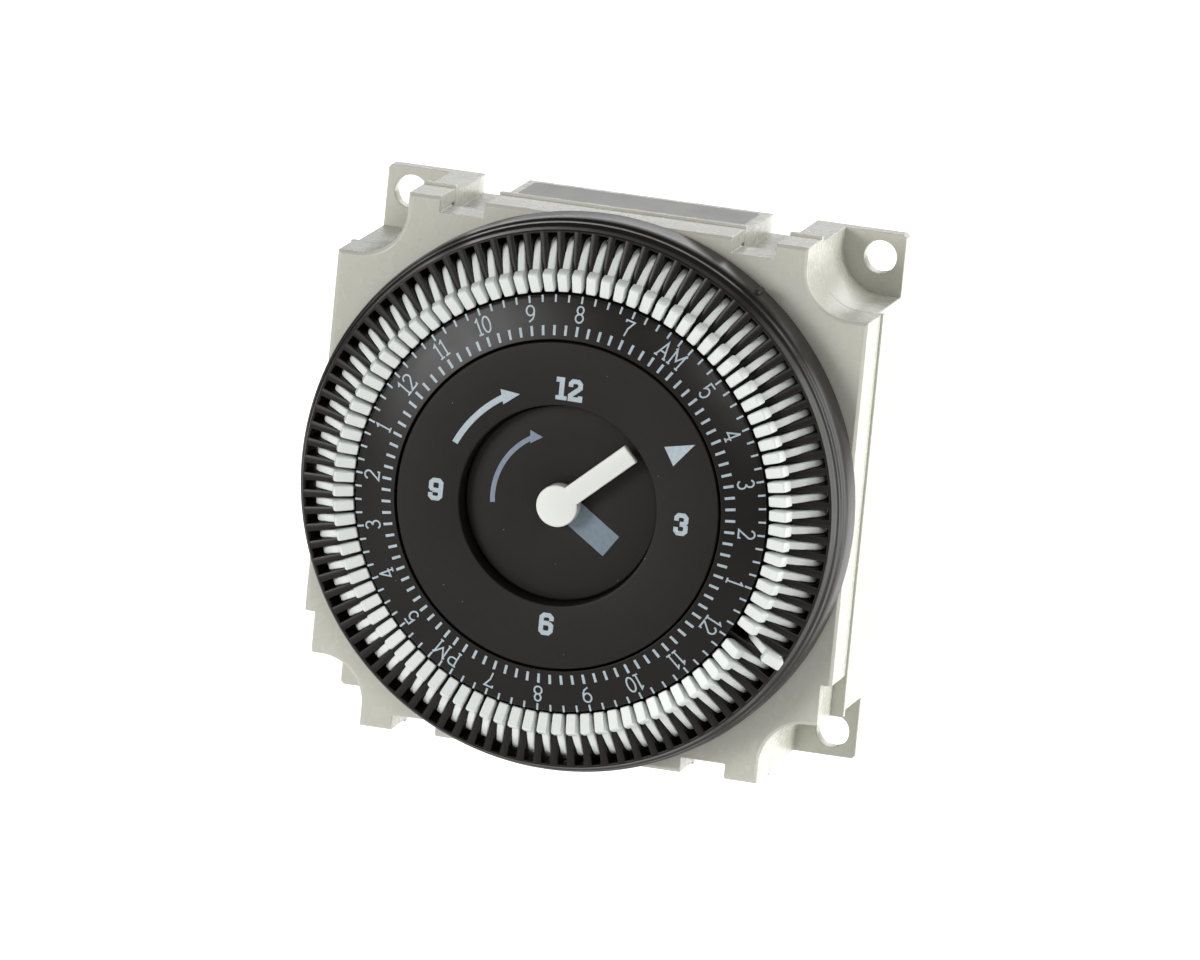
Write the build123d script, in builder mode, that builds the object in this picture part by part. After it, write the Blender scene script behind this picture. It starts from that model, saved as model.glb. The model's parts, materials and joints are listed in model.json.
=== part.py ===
from build123d import *
import os
from math import acos, asin, cos, degrees, pi, radians, sin, tan

os.makedirs("parts", exist_ok=True)

# A panel-mounted 24-hour timer. The origin is on the dial's axis, in the plane of the mounting
# lugs' rear faces. +X is to the right and +Z is up, seen from the front, which faces -Y.
# Heights are measured forwards from the mounting plane. Bearings are in degrees clockwise from
# straight up, seen from the front.

# ---- time shown -------------------------------------------------------------------------------
hours_shown = 4
minutes_shown = 8
pointer_bearing = 58.84

# ---- dial and trippers, plan sizes -------------------------------------------------------------
dial_diameter = 72.0
dial_overhang = 1.0
tripper_count = 96
slot_width = 1.15
slot_length = 7.0
rim_edge = 0.85
rim_flare = 1.2
rim_mark_bearing = 36.0
rim_mark_radius = 0.45
rim_mark_length = 3.0
centre_plate_radius = 21.1
centre_recess_radius = 12.9
hour_disc_radius = 12.6
tower_radius = 9.0
tower_wall = 1.2
peg_radius = 0.9
peg_count = 3

# ---- running fits and gaps ---------------------------------------------------------------------
running_fit = 0.05
arbor_fit = 0.04
press_gap = 0.02
seat_gap = 0.3
side_gap = 0.3

# ---- case --------------------------------------------------------------------------------------
case_inset = 0.5
case_wall = 1.8
notch_depth = 8.6
notch_radius = 6.0
hole_inset = 3.75
hole_diameter = 4.3
lug_thickness = 2.3
snap_offset = 19.2
snap_width = 5.8
snap_depth = 2.0
snap_ledge = 1.0
snap_slit = 1.5
hook_gap = 0.2
channel_depth = 2.5
seam_bead = 0.3
seam_bead_height = 1.0
post_inset_x = 6.5
post_inset_z = 16.0
post_radius = 2.4
post_hole_depth = 6.0
side_snap_offset = -24.0
side_snap_width = 6.0
side_snap_depth = 1.4
edge_break = 0.4

# ---- stack of the movement, from the mounting plane forwards -----------------------------------
motor_floor_gap = 0.2
motor_length = 9.4
plate_thickness = 1.6
collar_thickness = 0.25
spring_height = 0.3
wheel_thickness = 1.4
layer_gap = 0.3
drive_gear_thickness = 1.0
flange_thickness = 0.4
cover_thickness = 2.0
cover_skirt = 5.5

# ---- dial heights above its back ---------------------------------------------------------------
dial_gap = 0.4
dial_pivot_rise = 4.1
dial_shoulder_rise = 4.3
dial_rim_rise = 8.1
rib_slope = 1.0
rib_hold = 0.9
face_edge_rise = 3.0
face_drop = 1.5
lip_rise = 0.3
web_thickness = 1.4
web_drop = 0.5
face_thickness = 1.3
inner_wall = 1.5
slot_wall = 1.2
groove_lead = 0.1

# ---- gears -------------------------------------------------------------------------------------
pressure_angle = radians(25)
addendum = 0.8
dedendum = 1.05
backlash = 0.12
train_module = 0.6
minute_pinion_teeth = 10
motion_wheel_teeth = 40
motion_pinion_teeth = 12
hour_wheel_teeth = 36
drive_teeth = 18
ring_teeth = 72
motor_module = 0.4
motor_pinion_teeth = 20
centre_wheel_teeth = 50
motion_bearing = 150.0
motor_bearing = 270.0
web_hole_radius = 2.0
centre_web_holes = 5
centre_web_circle = 6.0
motion_web_holes = 6
motion_web_circle = 7.4

# ---- shafts ------------------------------------------------------------------------------------
arbor_radius = 1.0
pipe_radius = 2.2
stud_radius = 0.75
journal_radius = 6.2
journal_flange = 0.6
motor_shaft_radius = 0.8
collar_radius = 2.4
spacer_radius = 1.8
motion_hub_radius = 1.7
hour_hub_radius = 3.2
spring_inner = 2.2
spring_outer = 3.6

# ---- tripper, measured from its pivot ----------------------------------------------------------
tripper_swing = 41.2
pivot_inset = 2.85
wire_radius = 0.4
tripper_thickness = 0.95
head_width = 1.35
head_half_length = 1.35
head_bottom = 5.95
head_top = 7.7
flank_half_width = 2.55
tail_half_width = 0.6
tail_length = 3.0
flank_low = 0.6
flank_foot = -0.6
flank_taper = 0.6
neck_half = 0.75
head_chamfer = 0.4
head_flare = 0.6

# ---- switch and its lever ----------------------------------------------------------------------
lever_length = 16.0
lever_width = 2.4
lever_swing = 6.0
lever_pin_radius = 0.75
nose_width = 1.6
nose_depth = 1.5
nose_gap = 0.18
nose_rise = 3.0
switch_length = 12.8
switch_width = 6.5
switch_height = 6.0
switch_clearance = 1.8
plunger_offset = 6.0
plunger_width = 1.8
plunger_depth = 3.0
plunger_drop = 2.2
lever_eye = 0.5

# ---- motor, terminals and small parts ----------------------------------------------------------
motor_radius = 12.0
can_wall = 0.8
coil_gap = 0.4
motor_shaft_lift = 1.0
tab_count = 5
tab_pitch = 9.6
tab_width = 6.3
tab_thickness = 0.8
tab_hole_radius = 0.8
tab_hole_inset = 2.6
tab_chamfer = 0.8
tab_rear = 1.0
tab_proud = 1.0
well_depth = 9.0
well_wall = 1.2
well_height = 12.5
well_centre = -23.4
well_margin = 0.95
well_floor = 1.5
screw_radius = 1.0
screw_head_radius = 1.9
screw_head_height = 1.2
screw_length = 5.0
screw_slot = 0.6
label_length = 30.0
label_margin = 2.0
label_corner = 0.8
label_thickness = 0.15

# ---- hands -------------------------------------------------------------------------------------
hand_length = 12.0
hand_width = 2.64
hand_hub_radius = 2.7
hand_thickness = 1.2
hand_proud = 0.4
disc_thickness = 0.7
plate_floor = 1.1
plate_wall = 1.2
plate_inner_wall = 1.3

# ---- derived plan sizes ------------------------------------------------------------------------
dial_radius = dial_diameter / 2
cover_half = dial_radius - dial_overhang
case_half = cover_half - case_inset
notch_edge = cover_half - notch_depth
hole_spacing = 2 * (cover_half - hole_inset)
rim_radius = dial_radius - rim_flare
slot_outer = rim_radius - rim_edge
slot_inner = slot_outer - slot_length
pivot_radius = slot_outer - pivot_inset
face_inner = centre_plate_radius + side_gap
hub_bore = tower_radius + running_fit
pipe_bore = pipe_radius + running_fit
plate_bore = pipe_bore + 2 * running_fit
journal_bore = journal_radius + running_fit
tripper_pitch = 360 / tripper_count
rim_wall_radius = slot_outer + running_fit
post_x = cover_half - post_inset_x
post_z = cover_half - post_inset_z
inner_half = case_half - case_wall
well_half = tab_pitch * (tab_count - 1) / 2 + tab_width / 2 + well_margin
peg_circle = (tower_radius + pipe_radius) / 2
midnight_bearing = pointer_bearing + (hours_shown + minutes_shown / 60) * 15
minute_bearing = minutes_shown * 6

# ---- derived heights ---------------------------------------------------------------------------
plate_bottom = lug_thickness + motor_floor_gap + motor_length
plate_top = plate_bottom + plate_thickness
collar_bottom = plate_top + 3 * running_fit
spring_bottom = collar_bottom + collar_thickness
centre_wheel_bottom = spring_bottom + spring_height
motion_wheel_bottom = centre_wheel_bottom + wheel_thickness + layer_gap
hour_wheel_bottom = motion_wheel_bottom + wheel_thickness + layer_gap
drive_gear_bottom = hour_wheel_bottom + wheel_thickness + layer_gap
flange_bottom = drive_gear_bottom + drive_gear_thickness
cover_inner = flange_bottom + flange_thickness + layer_gap
cover_front = cover_inner + cover_thickness
seam = cover_inner - cover_skirt
dial_back = cover_front + dial_gap
pivot_height = dial_back + dial_pivot_rise
rim_top = dial_back + dial_rim_rise
rib_bottom = pivot_height - rib_hold
face_edge = rim_top + face_edge_rise
face_top = face_edge + face_drop
web_top = rim_top - web_drop
web_bottom = web_top - web_thickness
tower_top = web_top + seat_gap
floor_top = tower_top + plate_floor
disc_bottom = floor_top + seat_gap + 4 * running_fit
disc_top = disc_bottom + disc_thickness
hand_top = face_top + hand_proud
stud_top = cover_inner + cover_thickness / 2
well_roof = well_depth + well_floor
tab_front = well_roof + tab_proud
motor_bottom = plate_bottom - motor_length
ring_gear_top = web_bottom - 1.0

# ---- gear places -------------------------------------------------------------------------------
motion_distance = train_module * (motion_pinion_teeth + hour_wheel_teeth) / 2
minute_module = 2 * motion_distance / (minute_pinion_teeth + motion_wheel_teeth)
drive_distance = train_module * (ring_teeth - drive_teeth) / 2
idler_distance = train_module * (motion_pinion_teeth + drive_teeth) / 2
drive_angle = degrees(acos((motion_distance**2 + drive_distance**2 - idler_distance**2)
                           / (2 * motion_distance * drive_distance)))
drive_bearing = motion_bearing + drive_angle
motor_distance = motor_module * (motor_pinion_teeth + centre_wheel_teeth) / 2


def polar(radius, bearing):
    return (radius * sin(radians(bearing)), radius * cos(radians(bearing)))


motion_place = polar(motion_distance, motion_bearing)
drive_place = polar(drive_distance, drive_bearing)
motor_place = polar(motor_distance, motor_bearing)

front = Plane.XZ
section = Plane(origin=(0, 0, 0), x_dir=(0, 0, 1), z_dir=(1, 0, 0))


def direction(start, end):
    # counter-clockwise angle, seen from the front, of the line from one place to another
    across = end[0] - start[0]
    up = end[1] - start[1]
    turn = degrees(asin(up / (across**2 + up**2) ** 0.5))
    return turn if across >= 0 else 180 - turn


def involute(radius, base):
    # how far an involute has unrolled at a radius
    roll = acos(min(1, base / radius))
    return tan(roll) - roll


def gear_outline(teeth, module, phase, tip, root, slack):
    # toothed outline with involute flanks, and one tooth centred on the phase angle
    pitch = module * teeth / 2
    base = pitch * cos(pressure_angle)
    half_tooth = pi / (2 * teeth) + slack / (2 * pitch) + involute(pitch, base)
    low = max(base, root)
    flank = [low + (tip - low) * step / 3 for step in range(4)]
    profile = [(radius, half_tooth - involute(radius, base)) for radius in flank]
    if root < base:
        profile.insert(0, (root, profile[0][1]))
    points = []
    for tooth in range(teeth):
        middle = radians(phase) + 2 * pi * tooth / teeth
        points += [(r * cos(middle - a), r * sin(middle - a)) for r, a in profile]
        points += [(r * cos(middle + a), r * sin(middle + a)) for r, a in reversed(profile)]
    return points


def gear_face(teeth, module, phase):
    pitch = module * teeth / 2
    outline = gear_outline(teeth, module, phase, pitch + addendum * module,
                           pitch - dedendum * module, -backlash / 2)
    Polygon(*outline, align=None)


def ring_spaces(teeth, module, phase):
    pitch = module * teeth / 2
    outline = gear_outline(teeth, module, phase, pitch + dedendum * module,
                           pitch - addendum * module, backlash / 2)
    Polygon(*outline, align=None)


def meshing_phase(driver_phase, driver_teeth, line, teeth):
    # phase of a gear whose tooth gaps take the driver's teeth along the line of centres
    lead = (line - driver_phase) * driver_teeth / 360
    return line + 180 + (lead + 0.5) * 360 / teeth


centre = (0, 0)
motion_line = direction(centre, motion_place)
motion_phase = meshing_phase(0, minute_pinion_teeth, motion_line, motion_wheel_teeth)
hour_phase = meshing_phase(0, motion_pinion_teeth, direction(motion_place, centre), hour_wheel_teeth)
drive_phase = meshing_phase(0, motion_pinion_teeth, direction(motion_place, drive_place), drive_teeth)
drive_line = direction(centre, drive_place)
ring_phase = drive_line - (drive_line - drive_phase) * drive_teeth / ring_teeth
motor_line = direction(motor_place, centre)
centre_phase = meshing_phase(0, motor_pinion_teeth, motor_line, centre_wheel_teeth)

# ---- lever frame: x along the lever, y outwards from the dial's axis ---------------------------
swing = radians(tripper_swing / 2)
tail_reach = tail_half_width * cos(swing) + tail_length * sin(swing)
nose_radius = pivot_radius - tail_reach - nose_gap - nose_depth / 2
along = (cos(radians(pointer_bearing)), -sin(radians(pointer_bearing)))
outward = (sin(radians(pointer_bearing)), cos(radians(pointer_bearing)))
lever_place = (nose_radius * outward[0] - lever_length * along[0],
               nose_radius * outward[1] - lever_length * along[1])
lever_top = cover_inner - 2 * layer_gap
lever_bottom = lever_top - wheel_thickness - 2 * layer_gap
nose_top = cover_front + nose_rise
nose_travel = lever_length * sin(radians(lever_swing))
plunger_travel = plunger_offset * sin(radians(lever_swing))
switch_face = -lever_width / 2 - switch_clearance
plunger_height = plate_top + switch_height - plunger_drop
plunger_reach = switch_clearance - running_fit


def lever_plane(height):
    return Plane(origin=(lever_place[0], -height, lever_place[1]),
                 x_dir=(along[0], 0, along[1]), z_dir=(0, -1, 0))


def outline(half):
    # square with its corners notched out, as the mounting screws need
    Rectangle(2 * half, 2 * half)
    with GridLocations(2 * half, 2 * half, 2, 2):
        RectangleRounded(2 * (half - notch_edge), 2 * (half - notch_edge), notch_radius,
                         mode=Mode.SUBTRACT)


def cavity(inner, corner):
    # inside of the same outline, one wall in; corner is the side of the square left at each corner
    Rectangle(2 * inner, 2 * inner)
    with GridLocations(2 * inner, 2 * inner, 2, 2):
        RectangleRounded(2 * corner, 2 * corner, min(notch_radius + case_wall, 0.98 * corner),
                         mode=Mode.SUBTRACT)


# ---- front cover -------------------------------------------------------------------------------
with BuildPart() as front_cover:
    with BuildSketch(front.offset(seam)):
        outline(cover_half)
    extrude(amount=cover_front - seam)
    face_edges = front_cover.edges().filter_by(Plane.XZ).group_by(Axis.Y)[0]
    chamfer(face_edges, edge_break)
    with BuildSketch(front.offset(seam)):
        cavity(cover_half - case_wall, notch_depth)
    extrude(amount=cover_inner - seam, mode=Mode.SUBTRACT)
    # ledges that floor the top and bottom windows, short of the seam
    with BuildSketch(front.offset(seam + snap_slit)):
        with GridLocations(2 * snap_offset, 2 * (cover_half - snap_depth) - snap_ledge + case_wall, 2, 2):
            Rectangle(snap_width + 2 * case_wall, snap_ledge + case_wall)
    extrude(amount=cover_inner - seam - snap_slit)
    # windows for the case's snap hooks
    with BuildSketch(front.offset(seam)):
        with GridLocations(2 * snap_offset, 2 * cover_half, 2, 2):
            Rectangle(snap_width, 2 * snap_depth)
        with Locations((-cover_half, side_snap_offset), (cover_half, side_snap_offset)):
            Rectangle(2 * side_snap_depth, side_snap_width)
    extrude(amount=cover_front - seam, mode=Mode.SUBTRACT)
    # tower that the dial turns on, hollow behind
    with BuildSketch(front.offset(cover_inner)):
        Circle(tower_radius)
    extrude(amount=tower_top - cover_inner)
    with BuildSketch(front.offset(cover_inner)):
        Circle(tower_radius - tower_wall)
        Circle(pipe_bore + tower_wall, mode=Mode.SUBTRACT)
    extrude(amount=tower_top - cover_inner - tower_wall, mode=Mode.SUBTRACT)
    with BuildSketch(front.offset(cover_inner)):
        Circle(pipe_bore)
        with Locations(drive_place):
            Circle(journal_bore)
    extrude(amount=tower_top - cover_inner, mode=Mode.SUBTRACT)
    # sockets for the motion stud and the lever pin, and holes for the centre plate's pegs
    with BuildSketch(front.offset(cover_inner)):
        with Locations(motion_place):
            Circle(stud_radius + press_gap)
        with Locations(lever_place):
            Circle(lever_pin_radius + press_gap)
    extrude(amount=stud_top - cover_inner + press_gap, mode=Mode.SUBTRACT)
    # slot that the lever's nose comes through
    with BuildSketch(lever_plane(cover_inner)):
        with Locations((lever_length, -nose_travel / 2)):
            Rectangle(nose_width + 4 * side_gap, nose_depth + nose_travel + 3 * side_gap)
    extrude(amount=cover_thickness, mode=Mode.SUBTRACT)
    with BuildSketch(front.offset(tower_top)):
        with PolarLocations(peg_circle, peg_count, start_angle=90):
            Circle(peg_radius + press_gap)
    extrude(amount=-tower_wall, mode=Mode.SUBTRACT)

# ---- rear case ---------------------------------------------------------------------------------
with BuildPart() as rear_case:
    with BuildSketch(front):
        Rectangle(2 * case_half, 2 * case_half)
        with GridLocations(hole_spacing, hole_spacing, 2, 2):
            Circle(hole_diameter / 2, mode=Mode.SUBTRACT)
    extrude(amount=lug_thickness)
    chamfer(rear_case.edges().filter_by(Axis.Y).filter_by(GeomType.LINE), edge_break)
    with BuildSketch(front):
        outline(case_half)
    extrude(amount=seam)
    # bead around the front edge, against the cover
    with BuildSketch(front.offset(seam - seam_bead_height)):
        outline(cover_half + seam_bead)
    extrude(amount=seam_bead_height)
    with BuildSketch(front.offset(lug_thickness)):
        cavity(inner_half, inner_half - notch_edge + case_wall)
    extrude(amount=seam - lug_thickness, mode=Mode.SUBTRACT)
    # channels along the top and the bottom, one for each snap hook
    with BuildSketch(front):
        with GridLocations(2 * snap_offset, 2 * (case_half - channel_depth / 2 - case_wall), 2, 2):
            Rectangle(snap_width + 2 * case_wall, channel_depth)
    extrude(amount=seam)
    with BuildSketch(front):
        with GridLocations(2 * snap_offset, 2 * (case_half + seam_bead), 2, 2):
            Rectangle(snap_width, 2 * (channel_depth + seam_bead))
    extrude(amount=seam, mode=Mode.SUBTRACT)
    # snap hooks that reach into the cover's windows
    with BuildSketch(front.offset(seam)):
        with GridLocations(2 * snap_offset, 2 * (case_half - channel_depth) - case_wall, 2, 2):
            Rectangle(snap_width - 2 * hook_gap, case_wall - 2 * hook_gap)
    extrude(amount=cover_skirt - hook_gap)
    # posts that carry the movement plate
    with BuildSketch(front.offset(lug_thickness)):
        with GridLocations(2 * post_x, 2 * post_z, 2, 2):
            Circle(post_radius)
    extrude(amount=plate_bottom - lug_thickness)
    with BuildSketch(front.offset(plate_bottom)):
        with GridLocations(2 * post_x, 2 * post_z, 2, 2):
            Circle(screw_radius + press_gap)
    extrude(amount=-post_hole_depth, mode=Mode.SUBTRACT)
    # terminal well, open to the rear
    with BuildSketch(front.offset(lug_thickness)):
        with Locations((0, well_centre)):
            Rectangle(2 * (well_half + well_wall), well_height + 2 * well_wall)
    extrude(amount=well_roof - lug_thickness)
    with BuildSketch(front):
        with Locations((0, well_centre)):
            Rectangle(2 * well_half, well_height)
    extrude(amount=well_depth, mode=Mode.SUBTRACT)
    with BuildSketch(front.offset(well_depth)):
        with Locations((0, well_centre)):
            with GridLocations(tab_pitch, 1, tab_count, 1):
                Rectangle(tab_width + 2 * press_gap, tab_thickness + 2 * press_gap)
    extrude(amount=well_roof - well_depth, mode=Mode.SUBTRACT)

# ---- blank label on the case's top ---------------------------------------------------------------
with BuildPart() as rating_label:
    with BuildSketch(Plane.XY.offset(case_half)):
        with Locations((0, -seam / 2)):
            RectangleRounded(label_length, seam - 2 * label_margin, label_corner)
    extrude(amount=label_thickness)

# ---- terminal tabs -------------------------------------------------------------------------------
with BuildPart() as terminal_tabs:
    with BuildSketch(front.offset(tab_rear)):
        with Locations((0, well_centre)):
            with GridLocations(tab_pitch, 1, tab_count, 1):
                Rectangle(tab_width, tab_thickness)
    extrude(amount=tab_front - tab_rear)
    with BuildSketch(Plane.XY.offset(well_centre)):
        with Locations((0, -tab_rear - tab_hole_inset)):
            with GridLocations(tab_pitch, 1, tab_count, 1):
                Circle(tab_hole_radius)
    extrude(amount=tab_thickness, both=True, mode=Mode.SUBTRACT)
    chamfer(terminal_tabs.edges().filter_by(Axis.Z).group_by(Axis.Y)[-1], tab_chamfer)

# ---- movement plate and its screws ---------------------------------------------------------------
with BuildPart() as movement_plate:
    with BuildSketch(front.offset(plate_bottom)):
        Rectangle(2 * (inner_half - 2), 2 * (post_z + 3))
        Rectangle(2 * (notch_edge - 3), 2 * (inner_half - channel_depth - 1))
        Circle(arbor_radius + arbor_fit, mode=Mode.SUBTRACT)
        with Locations(motion_place):
            Circle(stud_radius + press_gap, mode=Mode.SUBTRACT)
        with Locations(lever_place):
            Circle(lever_pin_radius + press_gap, mode=Mode.SUBTRACT)
        with Locations(motor_place):
            Circle(2 * motor_shaft_radius, mode=Mode.SUBTRACT)
        with GridLocations(2 * post_x, 2 * post_z, 2, 2):
            Circle(screw_radius + running_fit, mode=Mode.SUBTRACT)
    extrude(amount=plate_thickness)

with BuildPart() as plate_screws:
    with BuildSketch(front.offset(plate_bottom - screw_length)):
        with GridLocations(2 * post_x, 2 * post_z, 2, 2):
            Circle(screw_radius)
    extrude(amount=screw_length + plate_thickness)
    with BuildSketch(front.offset(plate_top)):
        with GridLocations(2 * post_x, 2 * post_z, 2, 2):
            Circle(screw_head_radius)
    extrude(amount=screw_head_height)
    with BuildSketch(front.offset(plate_top + screw_head_height)):
        with GridLocations(2 * post_x, 2 * post_z, 2, 2):
            Rectangle(2.2 * screw_radius, screw_slot)
            Rectangle(screw_slot, 2.2 * screw_radius)
    extrude(amount=-screw_head_height / 2, mode=Mode.SUBTRACT)

# ---- motor ---------------------------------------------------------------------------------------
with BuildPart() as motor_case:
    with BuildSketch(front.offset(motor_bottom)):
        with Locations(motor_place):
            Circle(motor_radius)
    extrude(amount=motor_length)
    fillet(motor_case.edges().filter_by(GeomType.CIRCLE).sort_by(Axis.Y)[-1], can_wall)
    with BuildSketch(front.offset(motor_bottom + can_wall)):
        with Locations(motor_place):
            Circle(motor_radius - can_wall)
    extrude(amount=motor_length - 2 * can_wall, mode=Mode.SUBTRACT)
    with BuildSketch(front.offset(plate_bottom)):
        with Locations(motor_place):
            Circle(motor_shaft_radius + running_fit)
    extrude(amount=-can_wall, mode=Mode.SUBTRACT)

with BuildPart() as motor_coil:
    with BuildSketch(front.offset(motor_bottom + can_wall)):
        with Locations(motor_place):
            Circle(motor_radius - can_wall - coil_gap)
            Circle(motor_radius / 2, mode=Mode.SUBTRACT)
    extrude(amount=motor_length - 2 * can_wall - coil_gap)

with BuildPart() as motor_pinion:
    with BuildSketch(front.offset(motor_bottom + can_wall + motor_shaft_lift)):
        with Locations(motor_place):
            Circle(motor_shaft_radius)
    extrude(amount=centre_wheel_bottom - motor_bottom - can_wall - motor_shaft_lift)
    with BuildSketch(Plane(origin=(motor_place[0], -centre_wheel_bottom, motor_place[1]),
                           x_dir=(1, 0, 0), z_dir=(0, -1, 0))):
        gear_face(motor_pinion_teeth, motor_module, 0)
    extrude(amount=wheel_thickness)

# ---- minute arbor, its wheel and its clutch --------------------------------------------------------
with BuildPart() as minute_arbor:
    with BuildSketch(front.offset(plate_bottom)):
        Circle(arbor_radius)
    extrude(amount=hand_top - hand_thickness / 2 - plate_bottom)
    with BuildSketch(front.offset(collar_bottom)):
        Circle(collar_radius)
    extrude(amount=collar_thickness)
    with BuildSketch(front.offset(motion_wheel_bottom)):
        gear_face(minute_pinion_teeth, minute_module, 0)
    extrude(amount=wheel_thickness)
    with BuildSketch(front.offset(centre_wheel_bottom + wheel_thickness)):
        Circle(spacer_radius)
    extrude(amount=layer_gap)

with BuildPart() as centre_wheel:
    with BuildSketch(front.offset(centre_wheel_bottom)):
        gear_face(centre_wheel_teeth, motor_module, centre_phase)
        Circle(arbor_radius + press_gap, mode=Mode.SUBTRACT)
        with PolarLocations(centre_web_circle, centre_web_holes):
            Circle(web_hole_radius, mode=Mode.SUBTRACT)
    extrude(amount=wheel_thickness)

with BuildPart() as clutch_spring:
    with BuildSketch(section):
        with BuildLine():
            Polyline((arbor_radius + press_gap, spring_bottom), (spring_inner, spring_bottom),
                     (spring_outer, spring_bottom + spring_height / 2),
                     (spring_outer, spring_bottom + spring_height),
                     (spring_inner, spring_bottom + spring_height / 2),
                     (arbor_radius + press_gap, spring_bottom + spring_height / 2), close=True)
        make_face()
    revolve(axis=Axis.Y)

# ---- motion wheel and stud -------------------------------------------------------------------------
with BuildPart() as motion_stud:
    with BuildSketch(front.offset(plate_bottom)):
        with Locations(motion_place):
            Circle(stud_radius)
    extrude(amount=stud_top - plate_bottom)

motion_frame = Plane(origin=(motion_place[0], 0, motion_place[1]), x_dir=(1, 0, 0), z_dir=(0, -1, 0))
with BuildPart() as motion_wheel:
    with BuildSketch(motion_frame.offset(motion_wheel_bottom)):
        gear_face(motion_wheel_teeth, minute_module, motion_phase)
        with PolarLocations(motion_web_circle, motion_web_holes):
            Circle(web_hole_radius, mode=Mode.SUBTRACT)
    extrude(amount=wheel_thickness)
    with BuildSketch(motion_frame.offset(plate_top + running_fit)):
        Circle(motion_hub_radius)
    extrude(amount=motion_wheel_bottom - plate_top - running_fit)
    with BuildSketch(motion_frame.offset(motion_wheel_bottom + wheel_thickness)):
        gear_face(motion_pinion_teeth, train_module, 0)
    extrude(amount=flange_bottom - motion_wheel_bottom - wheel_thickness - layer_gap / 3)
    with BuildSketch(motion_frame.offset(plate_top)):
        Circle(stud_radius + arbor_fit)
    extrude(amount=cover_inner - plate_top, mode=Mode.SUBTRACT)

# ---- hour wheel, its pipe and the disc ---------------------------------------------------------------
with BuildPart() as hour_wheel:
    with BuildSketch(front.offset(hour_wheel_bottom)):
        gear_face(hour_wheel_teeth, train_module, hour_phase)
    extrude(amount=wheel_thickness)
    with BuildSketch(front.offset(hour_wheel_bottom + wheel_thickness)):
        Circle(hour_hub_radius)
    extrude(amount=cover_inner - hour_wheel_bottom - wheel_thickness - 3 * running_fit)
    with BuildSketch(front.offset(hour_wheel_bottom)):
        Circle(pipe_radius)
    extrude(amount=disc_top - hour_wheel_bottom)
    with BuildSketch(front.offset(hour_wheel_bottom)):
        Circle(arbor_radius + arbor_fit)
    extrude(amount=disc_top - hour_wheel_bottom, mode=Mode.SUBTRACT)

with BuildPart() as hour_disc:
    with BuildSketch(front.offset(disc_bottom)):
        Circle(hour_disc_radius)
        Circle(pipe_radius + press_gap, mode=Mode.SUBTRACT)
    extrude(amount=disc_thickness)

# ---- dial-drive pinion -------------------------------------------------------------------------------
drive_frame = Plane(origin=(drive_place[0], 0, drive_place[1]), x_dir=(1, 0, 0), z_dir=(0, -1, 0))
with BuildPart() as dial_drive_pinion:
    with BuildSketch(drive_frame.offset(drive_gear_bottom)):
        gear_face(drive_teeth, train_module, drive_phase)
    extrude(amount=drive_gear_thickness)
    with BuildSketch(drive_frame.offset(flange_bottom)):
        Circle(journal_radius + journal_flange)
    extrude(amount=flange_thickness)
    with BuildSketch(drive_frame.offset(flange_bottom + flange_thickness)):
        Circle(journal_radius)
    extrude(amount=cover_front + dial_gap / 2 - flange_bottom - flange_thickness)
    with BuildSketch(drive_frame.offset(cover_front + dial_gap / 2)):
        gear_face(drive_teeth, train_module, drive_phase)
    extrude(amount=ring_gear_top - cover_front - dial_gap / 2 - 0.6)

# ---- dial --------------------------------------------------------------------------------------------
ring_pitch = train_module * ring_teeth / 2
ring_tip = ring_pitch - addendum * train_module
ring_outer = ring_pitch + dedendum * train_module + 1.6
hub_outer = drive_distance - train_module * (drive_teeth / 2 + addendum) - side_gap


def face_height(radius):
    # the printed face falls away in a shallow cone from the lip to the trippers
    return face_top - face_drop * (radius - face_inner) / (slot_inner - face_inner)


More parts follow.
